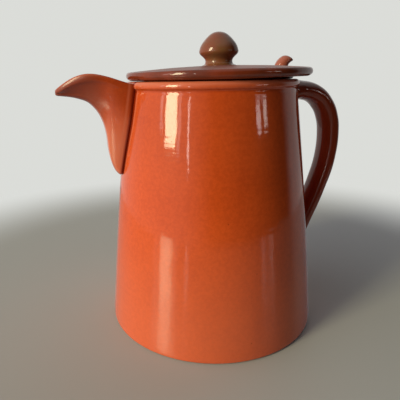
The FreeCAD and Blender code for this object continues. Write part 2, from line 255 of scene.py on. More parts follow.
def apply_modifier(piece: Piece, kind: str, **settings: object) -> None:
    """Add a modifier to the active piece, set it up and apply it.

    Args:
        piece: The active piece.
        kind: Type of the modifier.
        settings: Properties of the modifier by name.
    """
    bpy.ops.object.modifier_add(type=kind)
    modifier = piece.modifiers[-1]
    for key, setting in settings.items():
        setattr(modifier, key, setting)
    bpy.ops.object.modifier_apply(modifier=modifier.name)


def hand_unevenness(piece: Piece, depth: float, grain: float) -> None:
    """Give a piece the slight unevenness of clay shaped by hand.

    Args:
        piece: The active piece.
        depth: Height of the unevenness, in millimetres.
        grain: Size of its waves, in millimetres.
    """
    clouds = bpy.data.textures.new(f"{piece.name}_unevenness", "CLOUDS")
    clouds.noise_scale = grain * MM
    clouds.noise_depth = 1
    apply_modifier(piece, "DISPLACE", texture=clouds, strength=depth * MM, mid_level=0.5)


class NodeBench:
    """Adds nodes to one node tree and wires them together."""

    def __init__(self, tree: bpy.types.NodeTree, coordinates: str = "Object") -> None:
        """Start on an empty tree, with the place that its masks and patterns read.

        Args:
            tree: The node tree.
            coordinates: Coordinates that the place is given in.
        """
        tree.nodes.clear()
        self.tree = tree
        self.place = self.add("ShaderNodeTexCoord").outputs[coordinates]

    def add(self, kind: str, **settings: object) -> bpy.types.Node:
        """Add a node and set its own properties.

        Args:
            kind: Type of the node.
            settings: Properties of the node by name.

        Returns:
            The node.
        """
        node = self.tree.nodes.new(kind)
        for key, setting in settings.items():
            setattr(node, key, setting)
        return node

    def feed(self, socket: Socket, source: Source) -> None:
        """Set a socket to a value, or wire it to another socket.

        Args:
            socket: Input to feed.
            source: Value, or output of another node.
        """
        if isinstance(source, Socket):
            self.tree.links.new(source, socket)
        else:
            socket.default_value = source

    def wire(
        self, kind: str, sources: dict[str | int, Source], output: str | int = 0, **settings: object
    ) -> Socket:
        """Add a node and feed its inputs.

        Args:
            kind: Type of the node.
            sources: What each input is fed with, by its name or number.
            output: Name or number of the output that is wanted.
            settings: Properties of the node by name.

        Returns:
            The output.
        """
        node = self.add(kind, **settings)
        for key, source in sources.items():
            self.feed(node.inputs[key], source)
        return node.outputs[output]

    def math(self, operation: str, first: Source, second: Source = 0.0, third: Source = 0.0) -> Socket:
        """Result of a sum on up to three values."""
        return self.wire("ShaderNodeMath", {0: first, 1: second, 2: third}, operation=operation)

    def product(self, first: Socket, *others: Source) -> Socket:
        """Values multiplied together.

        Args:
            first: First value.
            others: Values that it is multiplied by.

        Returns:
            The product.
        """
        for other in others:
            first = self.math("MULTIPLY", first, other)
        return first

    def fade(self, value: Socket, ramp: Ramp, unit: float = 1.0) -> Socket:
        """Rise smoothly from 0 to a ramp's share as a value goes along the ramp, given in a unit."""
        ends = {"From Min": ramp.start * unit, "From Max": ramp.end * unit, "To Max": ramp.share}
        return self.wire("ShaderNodeMapRange", {"Value": value, **ends}, interpolation_type="SMOOTHSTEP")

    def noise(self, pattern: Pattern) -> Socket:
        """Cloudy value from 0 to 1.

        Args:
            pattern: Scale, makeup and stretch of the clouds.

        Returns:
            The value.
        """
        place = self.place
        if pattern.stretch:
            place = self.wire("ShaderNodeMapping", {"Vector": place, "Scale": pattern.stretch})
        makeup = {"Scale": pattern.scale, "Detail": pattern.detail, "Roughness": pattern.roughness}
        return self.wire("ShaderNodeTexNoise", {"Vector": place, **makeup}, "Fac")

    def clouds(self, pattern: Pattern) -> Socket:
        """Share of a cloudy pattern that shows."""
        return self.fade(self.noise(pattern), pattern.shown)

    def blend(self, share: Source, first: Source, second: Source) -> Socket:
        """Colour between two colours."""
        sources = {0: share, MIX_FIRST: first, MIX_SECOND: second}
        return self.wire("ShaderNodeMix", sources, MIX_COLOUR, data_type="RGBA")

    def mix(self, share: Socket, first: Socket, second: Socket) -> Socket:
        """Shader between two shaders."""
        return self.wire("ShaderNodeMixShader", {0: share, 1: first, 2: second})

    def show(self, shader: Socket, output: str = "ShaderNodeOutputMaterial") -> None:
        """Wire a shader to the output of the tree."""
        self.feed(self.add(output).inputs["Surface"], shader)

    def split(self, vector: Socket) -> tuple[Socket, ...]:
        """Three coordinates of a vector."""
        return tuple(self.wire("ShaderNodeSeparateXYZ", {0: vector}).node.outputs)

    def across(self) -> Socket:
        """Coordinate of the place along X, from the spout's side to the handle's."""
        return self.split(self.place)[0]

    def height(self) -> Socket:
        """Coordinate of the place along Z."""
        return self.split(self.place)[2]

    def facing_up(self) -> Socket:
        """How far the surface looks up, from -1 to 1."""
        return self.split(self.add("ShaderNodeNewGeometry").outputs["Normal"])[2]

    def length(self, vector: Socket) -> Socket:
        """Length of a vector."""
        return self.wire("ShaderNodeVectorMath", {0: vector}, "Value", operation="LENGTH")

    def curve(self, value: Socket, points: Line) -> Socket:
        """Value read from a drawn curve.

        Args:
            value: Place along the curve, from 0 to 1.
            points: Points of the curve, from 0 to 1 each way.

        Returns:
            Height of the curve there.
        """
        node = self.add("ShaderNodeFloatCurve")
        self.feed(node.inputs["Value"], value)
        line = node.mapping.curves[0]
        while len(line.points) < len(points):
            line.points.new(0.5, 0.5)
        for point, place in zip(line.points, points):
            point.location = place
        node.mapping.update()
        return node.outputs["Value"]


Measure = Callable[[NodeBench], Socket]
Mask = Callable[[NodeBench], Socket]


def along(measure: Measure, ramp: Ramp, unit: float = MM) -> Mask:
    """Mask that follows a measure along a ramp.

    Args:
        measure: What is measured at the bench's place.
        ramp: Where the mask starts and ends, and its full share.
        unit: Unit that the ramp is given in.

    Returns:
        The mask.
    """

    def mask(bench: NodeBench) -> Socket:
        """Share that the ramp has risen to."""
        return bench.fade(measure(bench), ramp, unit)

    return mask


def meeting(*masks: Mask) -> Mask:
    """Mask of where several masks meet.

    Args:
        masks: The masks.

    Returns:
        The mask of all of them.
    """

    def mask(bench: NodeBench) -> Socket:
        """Shares of all masks, multiplied."""
        return bench.product(*(each(bench) for each in masks))

    return mask


@dataclass(frozen=True)
class Wall:
    """Outside of the pot, which the other pieces are fitted to, in millimetres."""

    rim_height: float = 159.5
    base_radius: float = 71.0
    neck_radius: float = 53.6
    bow: float = 1.0
    thickness: float = 4.0
    bead_out: float = 1.3
    crease_core: float = 1 / 3
    # Share of the painted highlight on a luted piece's edge.
    edge_highlight_share: float = 0.6

    @property
    def bead_radius(self) -> float:
        """Radius of the rolled rim's section."""
        return (self.thickness + self.bead_out) / 2

    @property
    def mouth_radius(self) -> float:
        """Radius of the open mouth."""
        return self.neck_radius - self.thickness

    @property
    def crest_radius(self) -> float:
        """Radius of the rim's highest ring."""
        return self.mouth_radius + self.bead_radius

    @property
    def bead_height(self) -> float:
        """Height of the centre of the rolled rim."""
        return self.rim_height - self.bead_radius

    @property
    def neck_height(self) -> float:
        """Height at which the wall runs into the rolled rim."""
        inset = self.neck_radius - self.crest_radius
        return self.bead_height - math.sqrt(self.bead_radius**2 - inset**2)

    def radius(self, height: float) -> float:
        """Outside radius of the wall at a height."""
        share = height / self.neck_height
        return self.base_radius + (self.neck_radius - self.base_radius) * share + self.bow * bulge(share)

    def distance(self, bench: NodeBench) -> Socket:
        """Distance from the wall, outwards.

        Args:
            bench: Bench of the piece's glaze.

        Returns:
            The distance, in metres.
        """
        across, along_y, up = bench.split(bench.place)
        axis_distance = bench.length(bench.wire("ShaderNodeCombineXYZ", {0: across, 1: along_y}))
        share = bench.math("DIVIDE", up, self.neck_height * MM)
        cone = bench.math("MULTIPLY", share, (self.neck_radius - self.base_radius) * MM)
        swell = bench.product(share, bench.math("SUBTRACT", 1.0, share), PARABOLA * self.bow * MM)
        radius = bench.math("ADD", bench.math("ADD", cone, swell), self.base_radius * MM)
        return bench.math("SUBTRACT", axis_distance, radius)

    def crease(self, reach: float) -> Mask:
        """Mask of the crease at a luted piece, where dark glaze goes out to a reach in millimetres."""
        return along(self.distance, Ramp(reach, reach * self.crease_core))

    def luted_edge_highlight(self, near: float, far: float) -> Mask:
        """Mask of a painted highlight, over thinner glaze, on the rounded edge of a luted piece, just
        outside its crease.

        Args:
            near: Distance from the wall at which the edge begins, in millimetres.
            far: Distance at which it ends, in millimetres.

        Returns:
            The mask.
        """
        middle = (near + far) / 2
        begun = along(self.distance, Ramp(near, middle, self.edge_highlight_share))
        ended = along(self.distance, Ramp(far, middle))
        return meeting(begun, ended)


BARE_CLAY: Colour = (0.42, 0.17, 0.085, 1.0)
BARE_ROUGHNESS = 0.85
SOFT_CLOUDS = Pattern(40.0, 4.0, 0.55, shown=Ramp(0.35, 0.72))


@dataclass(frozen=True)
class Glaze:
    """Clear glossy glaze over a clay slip: its colours, its patterns and how strong they are."""

    name: str
    ordinary: Colour
    shaded: Colour
    pooled: Colour
    # The paler tone also paints highlights and sheen, and the browner tone paints shade.
    thin_and_sheen: Colour | None = None
    brown_and_shade: Colour | None = None
    clouds: Pattern = SOFT_CLOUDS
    mottle: float = 0.5
    runs: Pattern = Pattern(110.0, 3.0, stretch=(1.0, 1.0, 0.12), shown=Ramp(0.5, 0.78))
    run_share: float = 0.5
    turning: Pattern = Pattern(260.0, stretch=(0.06, 0.06, 1.0), shown=Ramp(0.45, 0.8))
    turning_share: float = 0.35
    streak: float = 0.35
    fine_clouds: Pattern = Pattern(480.0, roughness=0.7, shown=Ramp(0.3, 0.7))
    grain: float = 0.2
    pinhole_scale: float = 95.0
    pinhole_edge: Ramp = Ramp(0.06, 0.025)
    pinhole_groups: Pattern = Pattern(48.0, 1.0, shown=Ramp(0.64, 0.68))
    pinhole_depth: float = 1.5
    speck: float = 0.5
    waves: Pattern = Pattern(90.0, stretch=(1.0, 1.0, 0.7))
    rings: Pattern = Pattern(420.0, stretch=(0.05, 0.05, 1.0))
    ring_share: float = 0.45
    wave_height: float = 0.6
    ripple: float = 0.2
    gloss_clouds: Pattern = Pattern(55.0, 3.0)
    gloss_spread: float = 0.05
    gloss_drop: float = 0.02
    roughness: float = 0.07
    dulled_roughness: float = 0.4
    refraction: float = 1.5

    def material(
        self,
        piece: str,
        pooled: tuple[Mask, ...] = (),
        thin_and_sheen: tuple[Mask, ...] = (),
        brown_and_shade: tuple[Mask, ...] = (),
        bare: Mask | None = None,
        dulled: Mask | None = None,
    ) -> bpy.types.Material:
        """Make the glaze for one piece.

        Args:
            piece: Name of the piece, used in the material's name.
            pooled: Masks of where the glaze ran together and is dark.
            thin_and_sheen: Masks of where it is paler: thinner glaze over an edge, and painted highlights
                and sheen.
            brown_and_shade: Masks of where it is darker and browner: painted shade, with a browner glaze
                at the spout's beak.
            bare: Mask of where the fired clay is left bare.
            dulled: Mask of where use has dulled the gloss.

        Returns:
            The material.
        """
        material = bpy.data.materials.new(f"{piece}_{self.name}")
        material.use_nodes = True
        bench = NodeBench(material.node_tree)
        specks = self._specks(bench)
        colour = self._clouded(bench)
        for masks, tone in ((brown_and_shade, self.brown_and_shade), (thin_and_sheen, self.thin_and_sheen), (pooled, self.pooled)):
            for mask in masks:
                colour = bench.blend(mask(bench), colour, tone)
        colour = bench.blend(specks, colour, self.pooled)
        least = self.roughness - self.gloss_drop
        gloss = bench.math("MULTIPLY_ADD", bench.noise(self.gloss_clouds), self.gloss_spread, least)
        if dulled:
            worn = bench.math("MULTIPLY", dulled(bench), self.dulled_roughness)
            gloss = bench.math("MAXIMUM", gloss, worn)
        if bare:
            clay = bare(bench)
            colour = bench.blend(clay, colour, BARE_CLAY)
            gloss = bench.math("MAXIMUM", gloss, bench.math("MULTIPLY", clay, BARE_ROUGHNESS))
        bench.show(bench.wire("ShaderNodeBsdfPrincipled", {
            "Base Color": colour,
            "Roughness": gloss,
            "IOR": self.refraction,
            "Normal": self._surface(bench, specks),
        }))
        return material

    def _clouded(self, bench: NodeBench) -> Socket:
        """Colour of the glaze with soft clouds, runs, turning marks and grain.

        Args:
            bench: Bench of the glaze.

        Returns:
            The colour.
        """
        layers = (
            (self.clouds, self.mottle),
            (self.runs, self.streak * self.run_share),
            (self.turning, self.streak * self.turning_share),
            (self.fine_clouds, self.grain),
        )
        share, *others = (bench.product(bench.clouds(pattern), strength) for pattern, strength in layers)
        for other in others:
            share = bench.math("ADD", share, other)
        share.node.use_clamp = True
        return bench.blend(share, self.ordinary, self.shaded)

    def _specks(self, bench: NodeBench) -> Socket:
        """Mask of scattered dark pinholes.

        Args:
            bench: Bench of the glaze.

        Returns:
            The mask.
        """
        cells = {"Vector": bench.place, "Scale": self.pinhole_scale}
        distance = bench.wire("ShaderNodeTexVoronoi", cells, "Distance", feature="F1")
        near = bench.fade(distance, self.pinhole_edge)
        return bench.product(near, bench.clouds(self.pinhole_groups), self.speck)

    def _surface(self, bench: NodeBench, specks: Socket) -> Socket:
        """Faint waves and turning rings of the glaze, sunk at the pinholes.

        Args:
            bench: Bench of the glaze.
            specks: Mask of the pinholes.

        Returns:
            The surface's normal.
        """
        rings = bench.math("MULTIPLY", bench.noise(self.rings), self.ring_share)
        height = bench.math("ADD", bench.noise(self.waves), rings)
        height = bench.math("SUBTRACT", height, bench.math("MULTIPLY", specks, self.pinhole_depth))
        depth = {"Strength": self.ripple, "Distance": self.wave_height * MM}
        return bench.wire("ShaderNodeBump", {"Height": height, **depth})


ORANGE = Glaze(
    name="orange_glaze",
    ordinary=(0.71, 0.099, 0.0145, 1.0),
    shaded=(0.56, 0.068, 0.0095, 1.0),
    pooled=(0.26, 0.021, 0.003, 1.0),
    # Paler tone: thinner glaze, and painted highlights and sheen.
    thin_and_sheen=(0.7, 0.18, 0.09, 1.0),
    # Darker, browner tone: painted shade, and a browner glaze at the beak.
    brown_and_shade=(0.26, 0.046, 0.018, 1.0),
    mottle=0.3,
    streak=0.4,
    grain=0.5,
    dulled_roughness=0.26,
)
# Darker copy of the orange glaze for the handle: painted shade.
PAINTED_SHADE_ORANGE = Glaze(
    name="painted_shade_orange_glaze",
    ordinary=(0.33, 0.046, 0.0155, 1.0),
    shaded=(0.25, 0.036, 0.013, 1.0),
    pooled=(0.13, 0.013, 0.004, 1.0),
)
# Paler, pinker orange for the thumb rest: its glaze with a painted sheen in it.
PALE_SHEEN_ORANGE = Glaze(
    name="pale_sheen_orange_glaze",
    ordinary=(0.45, 0.13, 0.08, 1.0),
    shaded=(0.36, 0.1, 0.062, 1.0),
    pooled=(0.15, 0.014, 0.004, 1.0),
)
BROWN = Glaze(
    name="brown_glaze",
    ordinary=(0.24, 0.038, 0.012, 1.0),
    shaded=(0.14, 0.026, 0.009, 1.0),
    pooled=(0.045, 0.010, 0.005, 1.0),
    clouds=replace(SOFT_CLOUDS, scale=55.0),
    mottle=0.9,
    streak=0.6,
    ripple=0.45,
    roughness=0.06,
)
OLIVE = Glaze(
    name="olive_brown_glaze",
    ordinary=(0.23, 0.058, 0.024, 1.0),
    shaded=(0.19, 0.085, 0.034, 1.0),
    pooled=(0.045, 0.014, 0.007, 1.0),
    clouds=replace(SOFT_CLOUDS, scale=70.0),
    mottle=0.9,
    streak=0.4,
)


def finish_piece(piece: Piece, material: bpy.types.Material, node: str, body: Body) -> None:
    """Dress a piece, put it in place of its CAD node and report it.

    Args:
        piece: The finished mesh.
        material: Its glaze.
        node: CAD node that it stands for.
        body: Body that it rides on.
    """
    piece.data.materials.clear()
    piece.data.materials.append(material)
    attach(piece, body.value)
    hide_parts(node)
    size = ", ".join(f"{side / MM:.1f}" for side in piece.dimensions)
    log.info("%s: %d faces, %s mm", piece.name, len(piece.data.polygons), size)


@dataclass
class Pot:
    """Thrown pot: floor, bowed conical wall and rolled rim, pierced behind the spout.

    The seam is half of the spout's footprint, as half widths and heights. A round corner is given by its
    first and last angle in degrees and its number of knots, and knots on the wall by shares of its height.
    """

    wall: Wall
    seam: Line
    foot_ring: float = 12.0
    foot_recess: float = 1.5
    base_corner: float = 1.5
    base_turn: tuple[float, float, int] = (-90.0, 0.0, 4)
    outside_knots: tuple[float, ...] = (0.12, 0.3, 0.5, 0.7, 0.85, 0.95, 0.985, 1.0)
    bead_turn: tuple[float, float, int] = (-20.0, 180.0, 8)
    inside_knots: tuple[float, ...] = (0.85, 0.6, 0.35, 0.2)
    floor_height: float = 7.0
    floor_corner: float = 9.0
    floor_turn: tuple[float, float, int] = (0.0, -90.0, 5)
    unevenness: tuple[float, float] = (0.12, 40.0)
    strainer_hole: float = 4.4
    strainer_pitch: float = 7.0
    strainer_drop: float = 14.0
    strainer_rows: tuple[int, ...] = (3, 3, 2, 1)
    borer_sides: int = 24
    borer_walls: float = 6.0
    steps: int = 200
    resolution: int = 6
    groove_rise: float = 0.1
    groove_dark: Ramp = Ramp(1.6, 0.2, 0.25)
    crest_rise: float = 0.6
    # Paler low on the wall: thinner glaze there, and a painted reflection of the floor.
    low_sheen: Ramp = Ramp(100.0, 5.0, 0.4)
    # Painted shade: the upper wall darker and browner towards the rim.
    high_painted_shade: Ramp = Ramp(80.0, 135.0, 0.14)
    foot_bare: Ramp = Ramp(0.9, 0.4)
    seam_dark: Ramp = Ramp(1.9, 0.8)
    seam_dark_below: float = 1.6
    # Painted highlight, over thinner glaze, on the wall beside the spout's seam.
    seam_highlight: Ramp = Ramp(3.6, 2.0, 0.6)
    seam_highlight_below: float = 3.2
    seam_foot: float = 1.0
    spout_side: Ramp = Ramp(-20.0, -30.0)
    outer_skin: Ramp = Ramp(-2.6, -1.4)

    def wall_knots(self, shares: tuple[float, ...], depth: float) -> list[Knot]:
        """Knots at shares of the wall's height, at a depth in the wall."""
        heights = [share * self.wall.neck_height for share in shares]
        return [profile_knot(self.wall.radius(height) - depth, height) for height in heights]

    def profile(self) -> list[Knot]:
        """Draw the pot's profile.

        Returns:
            Knots from the middle of the underside, up the outside, and down the inside to the floor.
        """
        wall = self.wall
        recess = wall.base_radius - self.foot_ring
        knots = [
            profile_knot(0, self.foot_recess, Passing.CORNER),
            profile_knot(recess, self.foot_recess, Passing.CORNER),
            profile_knot(recess + self.foot_recess, 0, Passing.CORNER),
        ]
        corner = (wall.radius(self.base_corner) - self.base_corner, self.base_corner)
        knots += arc_knots(corner, self.base_corner, *self.base_turn)
        knots += self.wall_knots(self.outside_knots, 0.0)
        knots += arc_knots((wall.crest_radius, wall.bead_height), wall.bead_radius, *self.bead_turn)
        knots += self.wall_knots(self.inside_knots, wall.thickness)
        turn = self.floor_height + self.floor_corner
        inside = (wall.radius(turn) - wall.thickness - self.floor_corner, turn)
        knots += arc_knots(inside, self.floor_corner, *self.floor_turn)
        knots.append(profile_knot(0, self.floor_height, Passing.CORNER))
        return knots

    def build(self) -> Piece:
        """Turn the pot and pierce its strainer.

        Returns:
            The pot.
        """
        piece = turn_profile("pot_body_glazed", self.profile(), self.resolution, self.steps)
        hand_unevenness(piece, *self.unevenness)
        self.pierce(piece)
        return piece

    def strainer_holes(self) -> list[Vector]:
        """Lay out the strainer.

        Returns:
            Middle of every hole on the wall, row by row, in metres.
        """
        holes = []
        for row, count in enumerate(self.strainer_rows):
            height = self.wall.rim_height - self.strainer_drop - row * self.strainer_pitch
            for number in range(count):
                across = (number - (count - 1) / 2) * self.strainer_pitch
                holes.append(Vector((-self.wall.radius(height), across, height)) * MM)
        return holes

    def pierce(self, piece: Piece) -> None:
        """Cut the strainer holes through the wall behind the spout, with one borer copied to every hole.

        Args:
            piece: The turned pot.
        """
        deselect()
        bpy.ops.mesh.primitive_cylinder_add(
            vertices=self.borer_sides,
            radius=self.strainer_hole / 2 * MM,
            depth=self.borer_walls * self.wall.thickness * MM,
            rotation=(0, QUARTER_TURN, 0),
        )
        tool = bpy.context.object
        holes = self.strainer_holes()
        tool.location = holes[0]
        borers = [tool]
        for hole in holes[1:]:
            bpy.ops.object.duplicate()
            bpy.context.object.location = hole
            borers.append(bpy.context.object)
        for borer in borers:
            borer.select_set(True)
        bpy.context.view_layer.objects.active = tool
        bpy.ops.object.join()
        take_up(piece)
        apply_modifier(piece, "BOOLEAN", object=tool, operation="DIFFERENCE", solver="EXACT")
        bpy.data.objects.remove(tool)

    def dress(self, piece: Piece) -> None:
        """Glaze the pot, dark in its grooves and bare under its foot; painted shade darkens the upper
        wall, thinner glaze and a painted reflection of the floor make it paler low down, and a painted
        highlight runs beside the spout's seam.

        Args:
            piece: The pot.
        """
        crest = Ramp(self.wall.neck_height + self.crest_rise, self.wall.rim_height)
        thin_and_sheen = (
            along(NodeBench.height, self.low_sheen),
            along(NodeBench.height, crest),
            self.by_seam(self.seam_highlight, self.seam_highlight_below),
        )
        pooled = (
            along(self.off_groove, self.groove_dark),
            self.by_seam(self.seam_dark, self.seam_dark_below),
        )
        # Painted shade over the upper wall.
        brown_and_shade = (along(NodeBench.height, self.high_painted_shade),)
        material = ORANGE.material("pot", pooled, thin_and_sheen, brown_and_shade, along(NodeBench.height, self.foot_bare))
        finish_piece(piece, material, "pot_body", Body.POT)

    def off_groove(self, bench: NodeBench) -> Socket:
        """Distance up or down from the groove under the rolled rim, in metres."""
        groove = (self.wall.neck_height + self.groove_rise) * MM
        return bench.math("ABSOLUTE", bench.math("SUBTRACT", bench.height(), groove))

    def off_seam(self, bench: NodeBench) -> Socket:
        """Distance from the line of the spout's footprint.

        Args:
            bench: Bench of the pot's glaze.

        Returns:
            The distance along Y, in metres.
        """
        _, along_y, up = bench.split(bench.place)
        top = self.wall.rim_height
        widest = max(half for half, _ in self.seam)
        points = tuple((height / top, half / widest) for half, height in self.seam)
        drawn = bench.curve(bench.math("DIVIDE", up, top * MM), points)
        half_width = bench.math("MULTIPLY", drawn, widest * MM)
        return bench.math("ABSOLUTE", bench.math("SUBTRACT", bench.math("ABSOLUTE", along_y), half_width))

    def by_seam(self, line: Ramp, below: float) -> Mask:
        """Mask of a line along the spout's footprint, on the outside of the wall.

        Args:
            line: Where the line lies beside the footprint, in millimetres.
            below: How far it goes down below the footprint, in millimetres.

        Returns:
            The mask.
        """
        foot = self.seam[0][1] - below
        return meeting(
            along(self.off_seam, line),
            along(NodeBench.across, self.spout_side),
            along(NodeBench.height, Ramp(foot, foot + self.seam_foot)),
            along(self.wall.distance, self.outer_skin),
        )


@dataclass(frozen=True)
class Station:
    """One section across the spout, in millimetres.

    The keel and the lips are given by their distance from the pot's axis and their height.
    """

    keel: tuple[float, float]
    lips: tuple[float, float]
    lip_half: float
    keel_half: float
    swell: float = 0.0
    roll: float = 0.0
    band: float = 4.6


@dataclass(frozen=True)
class Strand:
    """Place of one rail in every section: its shares of the keel's arc, the side and the lip band."""

    arc: float
    side: float
    band: float
    sign: int = 1


@dataclass
class Spout:
    """Open-topped beak spout with a rolled lip, luted to the wall."""

    wall: Wall
    seam: Line
    thickness: float = 3.0
    keel_rise: float = 0.42
    keel_strip: float = 2.0
    tip_wall: float = 0.4
    roll_turn: float = 80.0
    squareness: float = 0.5
    thinning: tuple[float, float] = (74.0, 96.0)
    wall_group: str = "wall"
    strands: tuple[int, int, int] = (5, 6, 5)
    resolution: int = 3
    smoothing: int = 2
    crease: float = 0.4
    root_inset: float = 0.8
    sink: float = 2.2
    heel: float = 1.4
    root_band: float = 5.0
    stations: tuple[Station, ...] = (
        Station((66.9, 112.6), (59.5, 160.8), 17.2, 7.2, 1.0, 0.5),
        Station((69.2, 133.6), (68.0, 163.6), 16.7, 7.6, 0.4, 1.7, 4.8),
        Station((76.4, 146.9), (77.0, 164.9), 15.4, 8.8, 0.0, 2.3, 5.2),
        Station((84.0, 150.4), (84.0, 163.4), 12.8, 6.8, 0.0, 2.3, 5.0),
        Station((89.6, 151.6), (89.2, 160.8), 9.8, 5.2, 0.0, 1.8, 4.4),
        Station((93.8, 152.1), (93.4, 158.0), 6.8, 4.2, 0.0, 1.4, 3.6),
        Station((95.8, 152.5), (95.5, 156.3), 4.4, 3.0, 0.0, 0.8, 2.0),
        Station((96.5, 153.3), (96.4, 155.3), 1.5, 1.2, 0.0, 0.2, 1.2),
    )
    crease_dark: float = 2.6
    # Painted highlight, over thinner glaze, on the spout's luted edge, between these distances from the
    # wall.
    edge_highlight: tuple[float, float] = (2.4, 5.0)
    # Painted shade, with a browner glaze, over the beak.
    beak_out: Ramp = Ramp(-57.0, -78.0)
    beak_up: Ramp = Ramp(126.0, 150.0, 0.45)
    beak_shade: float = 0.95
    # Painted sheen: paler glaze on the spout's low side.
    low_sheen: Ramp = Ramp(150.0, 118.0, 0.95)
    # Paler top of the lip band: thinner glaze, and painted sheen on its upward face.
    lip_sheen_up: Ramp = Ramp(-0.1, 0.6, 0.55)
    lip_sheen_out: Ramp = Ramp(-62.0, -76.0)
    lip_dull: Ramp = Ramp(-66.0, -76.0)

    def half_section(self) -> list[Strand]:
        """Lay out half a section.

        Returns:
            Strands from the keel to a lip.
        """
        arcs, sides, bands = self.strands
        strands = [Strand(step / arcs, 0.0, 0.0) for step in range(arcs + 1)]
        strands += [Strand(1.0, step / sides, 0.0) for step in range(1, sides + 1)]
        strands += [Strand(1.0, 1.0, step / bands) for step in range(1, bands + 1)]
        return strands

    def lip_half(self, station: Station, lean: float) -> float:
        """Half width of the rolled lip, where it leans by an angle from upright."""
        return station.lip_half - station.roll * (1 - math.cos(lean) ** self.squareness)

    def section(self, station: Station, strand: Strand) -> Place:
        """Place on a section.

        Args:
            station: The section.
            strand: The rail that passes it.

        Returns:
            Distance from the pot's axis, half width with its sign, and height.
        """
        run = Vector(station.lips) - Vector(station.keel)
        corner = self.keel_rise * station.keel_half
        steepest = math.radians(self.roll_turn)
        turn = strand.arc * QUARTER_TURN
        half = station.keel_half * math.sin(turn)
        rise = corner * (1 - math.cos(turn))
        if strand.side:
            band_foot = self.lip_half(station, steepest)
            half = station.keel_half + (band_foot - station.keel_half) * strand.side
            half += station.swell * bulge(strand.side)
            rise = corner + (run.length - station.band - corner) * strand.side
        if strand.band:
            lean = steepest * (2 * strand.band - 1)
            half = self.lip_half(station, lean)
            above = (1 + math.sin(lean) / math.sin(steepest)) / 2
            rise = run.length - station.band * (1 - above)
        place = Vector(station.keel) + run.normalized() * rise
        return place.x, half * strand.sign, place.y

    def footprint(self, strand: Strand, inset: float, out: float) -> Place:
        """Place near the seam on the wall.

        Args:
            strand: The rail that starts there.
            inset: How far inside the footprint, in millimetres.
            out: How far outside the wall, in millimetres.

        Returns:
            Distance from the pot's axis, half width with its sign, and height.
        """
        low, corner, top = self.seam[0], self.seam[1], self.seam[-1]
        turn = strand.arc * QUARTER_TURN
        half = corner[0] * math.sin(turn)
        height = low[1] + (corner[1] - low[1]) * (1 - math.cos(turn))
        if strand.side:
            height = corner[1] + (top[1] - self.root_band - corner[1]) * strand.side
            height += self.root_band * strand.band
            half = self.seam_half(height)
        half = max(half - inset * strand.arc, 0.0)
        height += inset * (1 - strand.arc)
        radius = self.wall.radius(min(height, self.wall.neck_height)) + out
        return math.sqrt(radius**2 - half**2), half * strand.sign, height

    def seam_half(self, height: float) -> float:
        """Measure the footprint above the keel's arc.

        Args:
            height: Height, in millimetres.

        Returns:
            Half width of the footprint there.
        """
        for (half_a, low_a), (half_b, low_b) in zip(self.seam[1:], self.seam[2:]):
            if height <= low_b:
                return half_a + (half_b - half_a) * (height - low_a) / (low_b - low_a)
        return self.seam[-1][0]

    def rail(self, strand: Strand) -> list[Knot]:
        """Draw a line along the spout.

        Args:
            strand: Place of the line in every section.

        Returns:
            Knots from inside the wall to the tip, turned towards -X.
        """
        places = [
            self.footprint(strand, self.root_inset, -self.sink),
            self.footprint(strand, self.crease, 0.0),
            self.footprint(strand, 0.0, self.heel),
        ]
        places += [self.section(station, strand) for station in self.stations]
        return [Knot((-out, half, up)) for out, half, up in places]

    def build(self) -> Piece:
        """Draw rails along the spout, bridge them to a sheet and give it its wall and rounded lips.

        Returns:
            The spout.
        """
        near = self.half_section()
        far = [replace(strand, sign=-1) for strand in reversed(near[1:])]
        draw_lines("spout_glazed", [self.rail(strand) for strand in far + near], self.resolution)
        piece = as_mesh()
        edit_all()
        bpy.ops.mesh.bridge_edge_loops(type="SINGLE")
        close_mesh()
        self.face_down(piece)
        self.weigh_wall(piece)
        apply_modifier(
            piece, "SOLIDIFY", thickness=self.thickness * MM, offset=-1.0, vertex_group=self.wall_group,
        )
        piece.vertex_groups.clear()
        apply_modifier(piece, "SUBSURF", levels=self.smoothing, render_levels=self.smoothing)
        bpy.ops.object.shade_smooth()
        return piece

    def face_down(self, piece: Piece) -> None:
        """Turn the sheet so that its keel faces down and out, before it gets its wall.

        Args:
            piece: The sheet.
        """
        keel = [face for face in piece.data.polygons if abs(face.center.y) < self.keel_strip * MM]
        if sum(face.normal.z for face in keel) > 0:
            edit_all()
            bpy.ops.mesh.flip_normals()
            bpy.ops.object.mode_set(mode="OBJECT")

    def weigh_wall(self, piece: Piece) -> None:
        """Make the wall thinner towards the tip, by weights on the sheet.

        Args:
            piece: The sheet.
        """
        group = piece.vertex_groups.new(name=self.wall_group)
        start, end = self.thinning
        for vertex in piece.data.vertices:
            share = min(max((-vertex.co.x / MM - start) / (end - start), 0.0), 1.0)
            group.add([vertex.index], 1 - (1 - self.tip_wall) * share, "REPLACE")

    def dress(self, piece: Piece) -> None:
        """Glaze the spout: dark in the crease at the wall, with a painted highlight on its luted edge,
        painted sheen on its low side and along its lips over thinner glaze, and painted shade, with a
        browner glaze, at the beak.

        Args:
            piece: The spout.
        """
        pooled = (self.wall.crease(self.crease_dark),)
        thin_and_sheen = (
            self.wall.luted_edge_highlight(*self.edge_highlight),
            along(NodeBench.height, self.low_sheen),
            meeting(
                along(NodeBench.facing_up, self.lip_sheen_up, unit=1.0),
                along(NodeBench.across, self.lip_sheen_out),
            ),
        )
        dulled = along(NodeBench.across, self.lip_dull)
        material = ORANGE.material("spout", pooled, thin_and_sheen, (self.beak,), dulled=dulled)
        finish_piece(piece, material, "spout", Body.POT)

    def beak(self, bench: NodeBench) -> Socket:
        """Mask of the beak, darker and browner towards its tip and top: painted shade, with a browner
        glaze.

        Args:
            bench: Bench of the spout's glaze.

        Returns:
            The mask.
        """
        out = bench.fade(bench.across(), self.beak_out, MM)
        high = bench.fade(bench.height(), self.beak_up, MM)
        return bench.math("MULTIPLY", bench.math("MAXIMUM", out, high), self.beak_shade)


